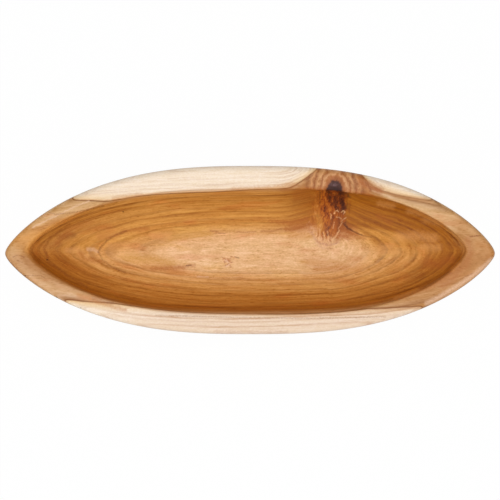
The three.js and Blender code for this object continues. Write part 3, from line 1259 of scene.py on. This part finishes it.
@dataclass(frozen=True)
class Sapwood:
    """Pale sapwood outside a thin dark line. Its colours go by the distance from that line."""

    # Both sides darken toward the line over the first few millimetres, partly painted shade where the line
    # runs along the rounded lip, most on the front
    back: tuple[tuple[float, Colour], ...] = (
        (0.0, Colour(228, 180, 124)),
        (2.5, Colour(243, 210, 166)),
        (8.0, Colour(249, 227, 200)),
    )
    front: tuple[tuple[float, Colour], ...] = (
        (0.0, Colour(210, 162, 116)),
        (2.0, Colour(226, 188, 147)),
        (4.5, Colour(239, 209, 176)),
        (8.0, Colour(238, 211, 183)),
    )
    line: Colour = Colour(134, 78, 28)
    soft_line: Colour = Colour(176, 114, 60)
    late: Colour = Colour(192, 136, 92)
    rings: tuple[Ring, ...] = (Ring(102.3, 1.0, 1.1), Ring(104.6, 0.6, 0.7), Ring(108.3, 0.7, 0.9))
    late_share: float = 0.8
    hair_share: float = 0.3
    back_hair_share: float = 0.06
    fibre_contrast: float = 0.13
    layer_contrast: float = 0.08
    speckle_contrast: float = 0.12
    lightness: float = 1.03
    line_share: float = 0.92
    soft_line_share: float = 0.6
    front_x: Span = (-175.0, -60.0)
    late_unevenness: float = 0.75
    least_late: float = 0.15
    back_late: float = 0.3
    front_late_gain: float = 0.7
    edge_depths: Span = (-0.3, 0.4)
    soft_x: Span = (88.0, 106.0)
    soft_line_place: Peak = (-1.2, 1.5)
    line_place: Peak = (-0.35, 0.75)
    soft_loss: float = 0.4

    def over(self, wood: Paint, grain: Grain, depth: Field) -> Paint:
        """Puts the sapwood and its line over the heartwood. The line is softer to the right of the knot.

        Args:
            wood: Colour of the heartwood.
            grain: The grain.
            depth: Distance outward from the sapwood line.

        Returns:
            The colour of the wood.
        """
        front = (1.0 - grain.to_back) * grain.x.rise(*self.front_x)
        sap = depth.colours(self.back).toward(depth.colours(self.front), front)
        late = grain.late_wood(self.rings) * (grain.unevenness * self.late_unevenness + self.least_late)
        late = late * (front * self.front_late_gain + self.back_late)
        darkness = late * self.late_share
        darkness = darkness + grain.hairs * (grain.to_back * self.back_hair_share + self.hair_share)
        sap = sap.toward(self.late, darkness.minimum(1.0))
        figure = grain.fibre * self.fibre_contrast + grain.layers * self.layer_contrast
        sap = sap.shaded(figure + grain.speckle * self.speckle_contrast + self.lightness)
        wood = wood.toward(sap, depth.rise(*self.edge_depths))
        soft = grain.to_back * grain.x.rise(*self.soft_x)
        soft_line = depth.bell(*self.soft_line_place) * soft
        wood = wood.toward(self.soft_line, soft_line * self.soft_line_share)
        line = depth.bell(*self.line_place) * (self.line_share - soft * self.soft_loss)
        return wood.toward(self.line, line)


@dataclass(frozen=True)
class BranchGrain:
    """The branch's own grain at each point, and where the point lies from the branch."""

    along: Field
    sideways: Field
    across: Field
    edge: Field
    distance: Field
    toe: Field
    tangle: Field
    cloud: Field
    edge_stretch: ClassVar[float] = 3.0
    edge_size: ClassVar[float] = 3.0
    axis_shift: ClassVar[float] = 2.5
    toe_curve: ClassVar[float] = 0.03
    ragged_side: ClassVar[float] = 7.0
    ragged_toe: ClassVar[float] = 3.0
    twist_size: ClassVar[float] = 5.0
    twist: ClassVar[float] = 2.0
    tangle_factors: ClassVar[tuple[float, float, float]] = (1 / 4.5, 1.0, 0.7)
    tangle_size: ClassVar[float] = 2.5
    cloud_stretch: ClassVar[float] = 2.0
    cloud_size: ClassVar[float] = 9.0

    @classmethod
    def of(cls, branch: Place) -> "BranchGrain":
        """Works the branch's grain out.

        The distance is taken from an axis a little to the left, and the way along the branch to its toe
        curves with the offset sideways. Both are made ragged by the same noise.

        Args:
            branch: Place seen from the branch, in millimetres.

        Returns:
            The grain there.
        """
        along, sideways, across = branch.parts()
        edge = branch.drawn_out(cls.edge_stretch).noise(cls.edge_size, detail=2.0)
        spread = sideways + cls.axis_shift
        distance = (spread * spread + across * across).math("SQRT") + edge * cls.ragged_side
        toe = along - spread * spread * cls.toe_curve + edge * cls.ragged_toe
        twisted = branch.wobble(cls.twist_size, cls.twist).times(cls.tangle_factors)
        tangle = twisted.noise(cls.tangle_size, detail=2.0, roughness=0.75)
        cloud = branch.drawn_out(cls.cloud_stretch).noise(cls.cloud_size, detail=1.0)
        return cls(along, sideways, across, edge, distance, toe, tangle, cloud)


@dataclass(frozen=True)
class Knot:
    """The branch in the wood: streaked along the wall, and a dark core in pale rings on the rim.

    All places are as seen from the branch, in millimetres.
    """

    streaks: tuple[tuple[float, Colour], ...] = (
        (-0.9, Colour(44, 10, 4)),
        (-0.5, Colour(104, 38, 6)),
        (-0.2, Colour(152, 70, 12)),
        (0.1, Colour(182, 100, 28)),
        (0.4, Colour(202, 124, 48)),
        (0.9, Colour(242, 184, 120)),
    )
    rim_rings: tuple[tuple[float, Colour], ...] = (
        (7.4, Colour(104, 50, 24)),
        (9.0, Colour(158, 90, 46)),
        (10.8, Colour(180, 110, 60)),
        (13.0, Colour(222, 164, 112)),
        (15.5, Colour(160, 92, 44)),
        (18.5, Colour(222, 164, 108)),
        (22.0, Colour(148, 80, 34)),
        (25.0, Colour(214, 152, 96)),
        (28.5, Colour(130, 68, 26)),
        (33.0, Colour(188, 124, 70)),
    )
    core: Colour = Colour(60, 26, 18)
    # Painted sheen: a grey-blue highlight on the knot's dark core
    core_sheen: Colour = Colour(134, 102, 104)
    # A dark band along the lip under the core: partly the core's dark wood, partly painted shade where the
    # lip turns down into the hollow
    core_edge: Colour = Colour(42, 16, 10)
    foot: Colour = Colour(240, 194, 156)
    streak_share: float = 0.92
    tangle_contrast: float = 1.25
    cloud_contrast: float = 0.6
    core_share: float = 0.95
    core_sheen_share: float = 0.8
    core_edge_share: float = 0.92
    wall_distances: Span = (22.5, 14.5)
    wall_toe: Span = (26.0, 34.0)
    wall_top: Span = (102.0, 98.5)
    fringe_sideways: Span = (-9.0, -16.0)
    fringe_paleness: float = 0.15
    fringe_loss: float = 0.42
    right_sideways: Span = (-13.0, 8.0)
    right_darkness: float = 0.35
    upper_along: Span = (50.0, 78.0)
    upper_darkness: float = 0.3
    lower_along: Span = (48.0, 34.0)
    lower_paleness: float = 0.3
    under_core_along: Span = (80.0, 96.0)
    under_core_sideways: Peak = (3.0, 8.0)
    under_core_darkness: float = 0.24
    paleness: float = 0.17
    foot_start: Span = (25.0, 31.0)
    foot_end: Span = (43.0, 34.0)
    foot_distances: Span = (23.0, 16.0)
    foot_sideways: Span = (9.0, 1.0)
    foot_tangle: float = 1.5
    foot_share: float = 0.25
    most_foot: float = 0.7
    rim_along: Span = (97.5, 101.5)
    rim_raggedness: float = 4.0
    rim_depth: Span = (0.2, -0.6)
    rim_across: Span = (24.0, 14.0)
    ring_cloud: float = 1.8
    ring_tangle: float = 0.6
    ring_reach: Span = (40.0, 24.0)
    ring_edge: float = 0.6
    ring_share: float = 0.85
    core_offset: float = 0.9
    core_height: float = 100.9
    core_flattening: float = 1.12
    core_raggedness: float = 2.4
    core_along: Span = (97.0, 100.0)
    core_across: Span = (15.0, 10.0)
    core_radii: Span = (9.0, 6.6)
    # Place and spread of the painted sheen on the core
    core_sheen_along: Peak = (104.3, 1.3)
    core_sheen_sideways: Peak = (-0.8, 3.6)
    core_sheen_edge: float = 2.0
    core_sheen_evenness: float = 0.8
    core_edge_along: Peak = (100.6, 1.9)
    core_edge_sideways: Peak = (0.8, 6.2)

    def over(self, wood: Paint, branch: Place, depth: Field) -> Paint:
        """Puts the knot over the wood.

        Args:
            wood: Colour of the wood around it.
            branch: Place seen from the branch.
            depth: Distance outward from the sapwood line.

        Returns:
            The colour with the knot.
        """
        grain = BranchGrain.of(branch)
        return self._on_rim(self._on_wall(wood, grain), grain, depth)

    def _on_wall(self, wood: Paint, grain: BranchGrain) -> Paint:
        """Puts the streaked part of the knot on the wall of the hollow, with its pale foot.

        Args:
            wood: Colour of the wood around it.
            grain: Grain of the branch.

        Returns:
            The colour with the streaks.
        """
        along, sideways, toe = grain.along, grain.sideways, grain.toe
        fringe = sideways.rise(*self.fringe_sideways)
        under_core = along.rise(*self.under_core_along) * sideways.bell(*self.under_core_sideways)
        darkness = sideways.rise(*self.right_sideways) * self.right_darkness
        darkness = darkness + along.rise(*self.upper_along) * self.upper_darkness
        darkness = darkness - along.rise(*self.lower_along) * self.lower_paleness
        darkness = darkness + under_core * self.under_core_darkness
        darkness = darkness - fringe * self.fringe_paleness - self.paleness
        on_wall = grain.distance.rise(*self.wall_distances) * toe.rise(*self.wall_toe)
        on_wall = on_wall * along.rise(*self.wall_top)
        tone = grain.tangle * self.tangle_contrast + grain.cloud * self.cloud_contrast - darkness
        streaked = tone.colours(self.streaks)
        wood = wood.toward(streaked, on_wall * (self.streak_share - fringe * self.fringe_loss))
        foot = toe.rise(*self.foot_start) * toe.rise(*self.foot_end)
        foot = foot * grain.distance.rise(*self.foot_distances) * sideways.rise(*self.foot_sideways)
        patches = (grain.tangle * self.foot_tangle + self.foot_share).maximum(0.0)
        return wood.toward(self.foot, foot * patches.minimum(self.most_foot))

    def _on_rim(self, wood: Paint, grain: BranchGrain, depth: Field) -> Paint:
        """Puts the dark core, a painted sheen on it, a dark band along the lip below it and the rings around
        it on the rim.

        Args:
            wood: Colour of the wood around it.
            grain: Grain of the branch.
            depth: Distance outward from the sapwood line.

        Returns:
            The colour with the core and its rings.
        """
        along, across, edge = grain.along, grain.across, grain.edge
        centred = grain.sideways - self.core_offset
        raised = (along - self.core_height).maximum(0.0) * self.core_flattening
        oval = (centred * centred + raised * raised).math("SQRT") + edge * self.core_raggedness
        on_rim = (along + edge * self.rim_raggedness).rise(*self.rim_along) * depth.rise(*self.rim_depth)
        on_rim = on_rim * across.rise(*self.rim_across)
        at_core = across.rise(*self.core_across)
        ring_place = oval + grain.cloud * self.ring_cloud + grain.tangle * self.ring_tangle
        rim_wood = ring_place.colours(self.rim_rings)
        rings = on_rim * oval.rise(*self.ring_reach)
        wood = wood.toward(rim_wood, rings * (edge * self.ring_edge + self.ring_share).minimum(1.0))
        core = along.rise(*self.core_along) * oval.rise(*self.core_radii) * at_core
        wood = wood.toward(self.core, core * self.core_share)
        # Painted sheen: a grey-blue highlight across the core
        core_sheen = along.bell(*self.core_sheen_along) * centred.bell(*self.core_sheen_sideways)
        core_sheen = core_sheen * (edge * self.core_sheen_edge + self.core_sheen_evenness).maximum(0.0)
        wood = wood.toward(self.core_sheen, on_rim * core_sheen.minimum(1.0) * at_core * self.core_sheen_share)
        # Dark band along the lip under the core, partly painted shade where the lip turns down
        core_edge = along.bell(*self.core_edge_along) * centred.bell(*self.core_edge_sideways) * at_core
        return wood.toward(self.core_edge, core_edge * self.core_edge_share)


@dataclass(frozen=True)
class OiledTeak:
    """Oiled teak with golden heartwood, pale sapwood, a branch knot, checks and pinholes."""

    name: str = "oiled_teak"
    heartwood: Heartwood = Heartwood()
    sapwood: Sapwood = Sapwood()
    knot: Knot = Knot()
    marks: tuple[Marks, ...] = (
        GOLD, DARKER_PATCHES_AND_LIP_SHADE, DARK_PATCHES_AND_LIP_SHADE, LIGHTER_PATCHES_AND_PAINTED_LIGHT, SMEARS_AND_EDGE_SHADE, BED_STREAKS, BURL, PALE_STREAKS_AND_HIGHLIGHTS, STREAKS,
        KNOT_SMUDGE, KNOT_STREAKS, KNOT_CURLS, CHECKS, PINHOLES,
    )
    line_raggedness: float = 0.6
    line_waver: float = 0.3
    roughness: float = 0.42
    fibre_roughness: float = 0.08
    gloss: float = 0.2
    relief: float = 0.1 * MM
    # Painted shade: a thin darker band along the outer edge, where the rounded edge turns down out of the
    # light
    edge_shade: Colour = Colour(120, 82, 50)
    edge_shade_share: float = 0.36

    def apply(self, mesh: bpy.types.Mesh) -> None:
        """Makes the material and gives it to a mesh.

        Args:
            mesh: Mesh that stores where each point lay in the log.
        """
        material = bpy.data.materials.new(self.name)
        material.use_nodes = True
        tree = material.node_tree
        grain = Grain.of(Place(self._attribute(tree, "log_place", "Vector")))
        branch = Place(self._attribute(tree, "branch_place", "Vector"))
        upper_side = Field(self._attribute(tree, "upper_side", "Fac"))
        depth = Field(self._attribute(tree, "sapwood_depth", "Fac")) + grain.fibre * self.line_raggedness
        depth = depth + grain.layers * self.line_waver
        above = Place(add_node(tree, "ShaderNodeTexCoord").outputs["Object"]).times((1 / MM, 1 / MM, 0.0))

        paint = self.sapwood.over(self.heartwood.paint(grain), grain, depth)
        paint = self.knot.over(paint, branch, depth)
        for marks in self.marks:
            paint = marks.over(paint, above, upper_side)
        # Painted shade along the outer edge, where the rounded edge turns down out of the light
        outer_edge = Field(self._attribute(tree, "outer_edge", "Fac"))
        paint = paint.toward(self.edge_shade, outer_edge * self.edge_shade_share)

        shader = tree.nodes["Principled BSDF"]
        connect(shader.inputs["Base Color"], paint)
        connect(shader.inputs["Roughness"], grain.fibre * self.fibre_roughness + self.roughness)
        shader.inputs["Specular IOR Level"].default_value = self.gloss
        bump = add_node(tree, "ShaderNodeBump")
        bump.inputs["Distance"].default_value = self.relief
        connect(bump.inputs["Height"], grain.fibre)
        connect(shader.inputs["Normal"], Output(bump.outputs[0]))
        mesh.materials.append(material)

    def _attribute(self, tree: bpy.types.NodeTree, name: str, part: str) -> bpy.types.NodeSocket:
        """Reads a value that the mesh stores at its points."""
        return add_node(tree, "ShaderNodeAttribute", attribute_name=name).outputs[part]


@dataclass
class Lamp:
    """A softbox over the middle of the bowl's length, with its width and depth, place and power in watts."""

    name: str
    size: tuple[float, float]
    place: tuple[float, float, float]
    power: float

    def build(self) -> None:
        """Hangs the softbox and turns it to the middle of the floor."""
        data = bpy.data.lights.new(self.name, "AREA")
        data.shape = "RECTANGLE"
        data.size, data.size_y = self.size
        data.energy = self.power
        lamp = bpy.data.objects.new(self.name, data)
        _, y, z = self.place
        lamp.location = self.place
        lamp.rotation_euler = (math.atan2(-y, z), 0, 0)
        bpy.context.scene.collection.objects.link(lamp)


@dataclass
class Studio:
    """White floor, two softboxes and the camera that looks straight down."""

    camera_height: float = 1.328
    camera_y: float = 0.155 * MM
    frame_pixels: float = 500
    focal_pixels: float = 1230.5
    sensor_width: float = 36.0
    floor_half_width: float = 6.0
    floor_whiteness: float = 0.975
    floor_grey: float = 0.95
    floor_roughness: float = 0.9
    sky_strength: float = 0.28
    lamps: tuple[Lamp, ...] = (
        Lamp("overhead_softbox", size=(1.7, 1.1), place=(0.0, 0.12, 1.7), power=17.5),
        Lamp("front_softbox", size=(2.6, 1.6), place=(0.0, -1.6, 1.35), power=14.0),
    )

    def camera(self) -> None:
        """Camera over the middle of the bowl, with +X to the right and +Y up in the picture."""
        data = bpy.data.cameras.new("overhead")
        data.sensor_width = self.sensor_width
        data.lens = self.sensor_width * self.focal_pixels / self.frame_pixels
        camera = bpy.data.objects.new("overhead", data)
        camera.location = (0, self.camera_y, self.camera_height)
        bpy.context.scene.collection.objects.link(camera)
        bpy.context.scene.camera = camera

    def seen(self, tree: bpy.types.NodeTree) -> Field:
        """Tells the rays that carry a picture of the surroundings from those that light the scene.

        Args:
            tree: The node tree that asks.

        Returns:
            1 for a ray from the camera, also by way of a mirror or glass, and else 0.
        """
        path = add_node(tree, "ShaderNodeLightPath").outputs
        mirrored, passed = Field(path["Is Glossy Ray"]), Field(path["Is Transmission Ray"])
        return Field(path["Is Camera Ray"]).maximum(mirrored).maximum(passed)

    def sky(self) -> None:
        """Even surroundings that look white and light the bowl softly."""
        world = bpy.data.worlds.new("studio")
        world.use_nodes = True
        background = world.node_tree.nodes["Background"]
        background.inputs["Color"].default_value = (1, 1, 1, 1)
        seen = self.seen(world.node_tree)
        connect(background.inputs["Strength"], seen * (1 - self.sky_strength) + self.sky_strength)
        bpy.context.scene.world = world

    def floor(self) -> None:
        """Plain white floor that keeps the bowl's shadow."""
        half = self.floor_half_width
        mesh = bpy.data.meshes.new("floor")
        corners = [(-half, -half, 0), (half, -half, 0), (half, half, 0), (-half, half, 0)]
        mesh.from_pydata(corners, [], [(0, 1, 2, 3)])
        material = bpy.data.materials.new("white_floor")
        material.use_nodes = True
        tree = material.node_tree
        surface = tree.nodes["Principled BSDF"]
        surface.inputs["Base Color"].default_value = (*[self.floor_grey] * 3, 1)
        surface.inputs["Roughness"].default_value = self.floor_roughness
        glow = add_node(tree, "ShaderNodeEmission")
        mix = add_node(tree, "ShaderNodeMixShader")
        connect(mix.inputs[0], self.seen(tree) * self.floor_whiteness)
        connect(mix.inputs[1], Output(surface.outputs[0]))
        connect(mix.inputs[2], Output(glow.outputs[0]))
        connect(tree.nodes["Material Output"].inputs["Surface"], Output(mix.outputs[0]))
        mesh.materials.append(material)
        floor = bpy.data.objects.new("floor", mesh)
        bpy.context.scene.collection.objects.link(floor)

    def build(self) -> None:
        """Sets up the whole studio."""
        self.camera()
        for lamp in self.lamps:
            lamp.build()
        self.sky()
        self.floor()
        bpy.context.scene.view_settings.view_transform = "Standard"


@dataclass
class Bowl:
    """The carved bowl in one piece."""

    form: BowlForm
    log: Log
    finish: OiledTeak
    least_slope: float = 0.2
    least_area: float = 1e-9
    # Where the painted shade along the outer edge begins to fade and where it is gone, in millimetres from
    # the edge
    edge_shade_from: float = 1.5
    edge_shade_to: float = 4.5
    flat_half_width: float = 0.49
    flat_middles: tuple[tuple[float, float], ...] = ((0.5, 0.25), (0.5, 0.75))

    def build(self) -> bpy.types.Object:
        """Makes the bowl and sets it in the place of its solid.

        Returns:
            The bowl.
        """
        floor_middle = np.array([self.form.cavity_centre_x, 0, self.form.floor_thickness])
        skin = Skin(self.form.rows(), np.zeros(3), floor_middle)
        mesh = skin.mesh("teak_bowl")
        self._store(mesh, skin)
        self._unroll(mesh, skin)
        self.finish.apply(mesh)
        bowl = bpy.data.objects.new("teak_bowl", mesh)
        bpy.context.scene.collection.objects.link(bowl)
        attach(bowl, "root")
        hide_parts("bowl")
        return bowl

    @property
    def _under(self) -> int:
        """How many rows of the skin lie below the outer edge."""
        return self.form.foot_rows + self.form.hull_rows

    def _square_edged(self, skin: Skin) -> np.ndarray:
        """Points of the skin as they would lie with an outer edge of half the rounding.

        The rounding's rows rise halfway to the rim's top face, and the rows of the outer side rise by half
        the rounding's radius at the edge, less toward the foot by the square of the height.

        Args:
            skin: The skin.

        Returns:
            The points, one in a row, in millimetres.
        """
        rows = skin.rows.copy()
        x, z = rows[..., 0], rows[..., 2]
        under, top = self._under, self._under + self.form.edge_rows
        z[:under] += self.form.edge_rounding / 2 * (z[:under] / self.form.rim_height) ** 2
        z[under:top] = (z[under:top] + self.form.rim_top(x[under:top])) / 2
        return np.concatenate([skin.first_pole[None], rows.reshape(-1, 3), skin.last_pole[None]]) / MM

    def _depth_along_skin(self, skin: Skin) -> np.ndarray:
        """Distance of each point from the sapwood line along the skin, so that the line is evenly wide.

        The distance through the wood is divided by how fast it grows along the skin, its slope up the
        rows and along them, and no slope or area counts as less than the least one.

        Args:
            skin: The skin.

        Returns:
            The distance for each point, negative in the heartwood.
        """
        depth = self.log.past_sapwood_line(self._square_edged(skin))
        rows = skin.rows / MM
        inner = depth[1:-1].reshape(rows.shape[:2])
        up, along = np.gradient(rows, axis=0), (np.roll(rows, -1, 1) - np.roll(rows, 1, 1)) / 2
        rise = np.gradient(inner, axis=0)
        run = (np.roll(inner, -1, 1) - np.roll(inner, 1, 1)) / 2
        uu, aa, ua = (up * up).sum(-1), (along * along).sum(-1), (up * along).sum(-1)
        area = np.maximum(uu * aa - ua**2, self.least_area)
        square = (rise**2 * aa - 2 * rise * run * ua + run**2 * uu) / area
        depth[1:-1] /= np.clip(np.sqrt(square), self.least_slope, 1).ravel()
        return depth

    def _outer_edge(self, skin: Skin) -> np.ndarray:
        """How close each point is to the outer edge, measured at its own station, for the painted shade
        along that edge.

        Args:
            skin: The skin.

        Returns:
            1 for each point at the edge, falling to 0 away from it.
        """
        gap = np.linalg.norm(skin.rows - skin.rows[self._under - 1], axis=-1) / MM
        share = 1 - way_along(gap, self.edge_shade_from, self.edge_shade_to)
        return np.concatenate([[0.0], share.ravel(), [0.0]])

    @staticmethod
    def _flattened(rows: np.ndarray, pole: np.ndarray) -> np.ndarray:
        """Lays one side of the skin out flat around its middle.

        Each point lies in its own direction from the middle, as far out as the way to it along the skin.

        Args:
            rows: Rows of points, from the middle outward.
            pole: The middle.

        Returns:
            The x and the y of each point of the rows on the flat.
        """
        way = np.concatenate([np.broadcast_to(pole, (1, rows.shape[1], 3)), rows])
        reach = np.linalg.norm(np.diff(way, axis=0), axis=-1).cumsum(axis=0)
        offset = (rows - pole)[..., :2]
        return offset / np.linalg.norm(offset, axis=-1, keepdims=True) * reach[..., None]

    def _unroll(self, mesh: bpy.types.Mesh, skin: Skin) -> None:
        """Lays the skin out flat for texture images, the outer side below and the upper side above.

        The two sides meet in the outer edge, whose points lie on both.

        Args:
            mesh: Mesh of the skin.
            skin: The skin.
        """
        count = skin.rows.shape[1]
        outer = self._flattened(skin.rows[: self._under], skin.first_pole)
        inner = self._flattened(skin.rows[self._under - 1 :][::-1], skin.last_pole)
        scale = self.flat_half_width / max(np.abs(side[..., 0]).max() for side in (outer, inner))
        below, above = self.flat_middles
        spots = np.zeros((2, len(skin.points), 2))
        spots[:, [0, -1]] = np.array(self.flat_middles)[:, None]
        spots[0, 1 : 1 + self._under * count] = (outer * scale + below).reshape(-1, 2)
        spots[1, 1 + (self._under - 1) * count : -1] = (inner * scale + above)[::-1].reshape(-1, 2)
        corners = np.empty(len(mesh.loops), np.int32)
        mesh.loops.foreach_get("vertex_index", corners)
        starts = np.empty(len(mesh.polygons), np.int32)
        mesh.polygons.foreach_get("loop_start", starts)
        first = np.minimum.reduceat(corners, starts)
        upper = (first > (self._under - 1) * count).astype(int)
        sides = np.repeat(upper, np.diff(np.append(starts, len(corners))))
        layer = mesh.uv_layers.new(name="OFBake")
        layer.uv.foreach_set("vector", spots[sides, corners].astype(np.float32).ravel())

    def _store(self, mesh: bpy.types.Mesh, skin: Skin) -> None:
        """Stores at each point where it lay in the log, for the finish to read.

        Args:
            mesh: Mesh of the skin.
            skin: The skin.
        """
        points = skin.points / MM
        row_count, count = skin.rows.shape[:2]
        upper = np.concatenate([[0.0], np.repeat(np.arange(row_count) >= self._under, count), [1.0]])
        numbers = {
            "sapwood_depth": self._depth_along_skin(skin),
            "upper_side": upper,
            "outer_edge": self._outer_edge(skin),
        }
        vectors = {"log_place": self.log.in_log(points), "branch_place": self.log.along_branch(points)}
        for name, values in numbers.items():
            attribute = mesh.attributes.new(name, "FLOAT", "POINT")
            attribute.data.foreach_set("value", values.astype(np.float32))
        for name, values in vectors.items():
            attribute = mesh.attributes.new(name, "FLOAT_VECTOR", "POINT")
            attribute.data.foreach_set("vector", values.astype(np.float32).ravel())


def main() -> None:
    """Builds the studio and the bowl in order."""
    logging.basicConfig(level=logging.INFO)
    Studio().build()
    bowl = Bowl(BowlForm(), Log(), OiledTeak()).build()
    log.info("%s has %d faces", bowl.name, len(bowl.data.polygons))


if __name__ == "__main__":
    main()
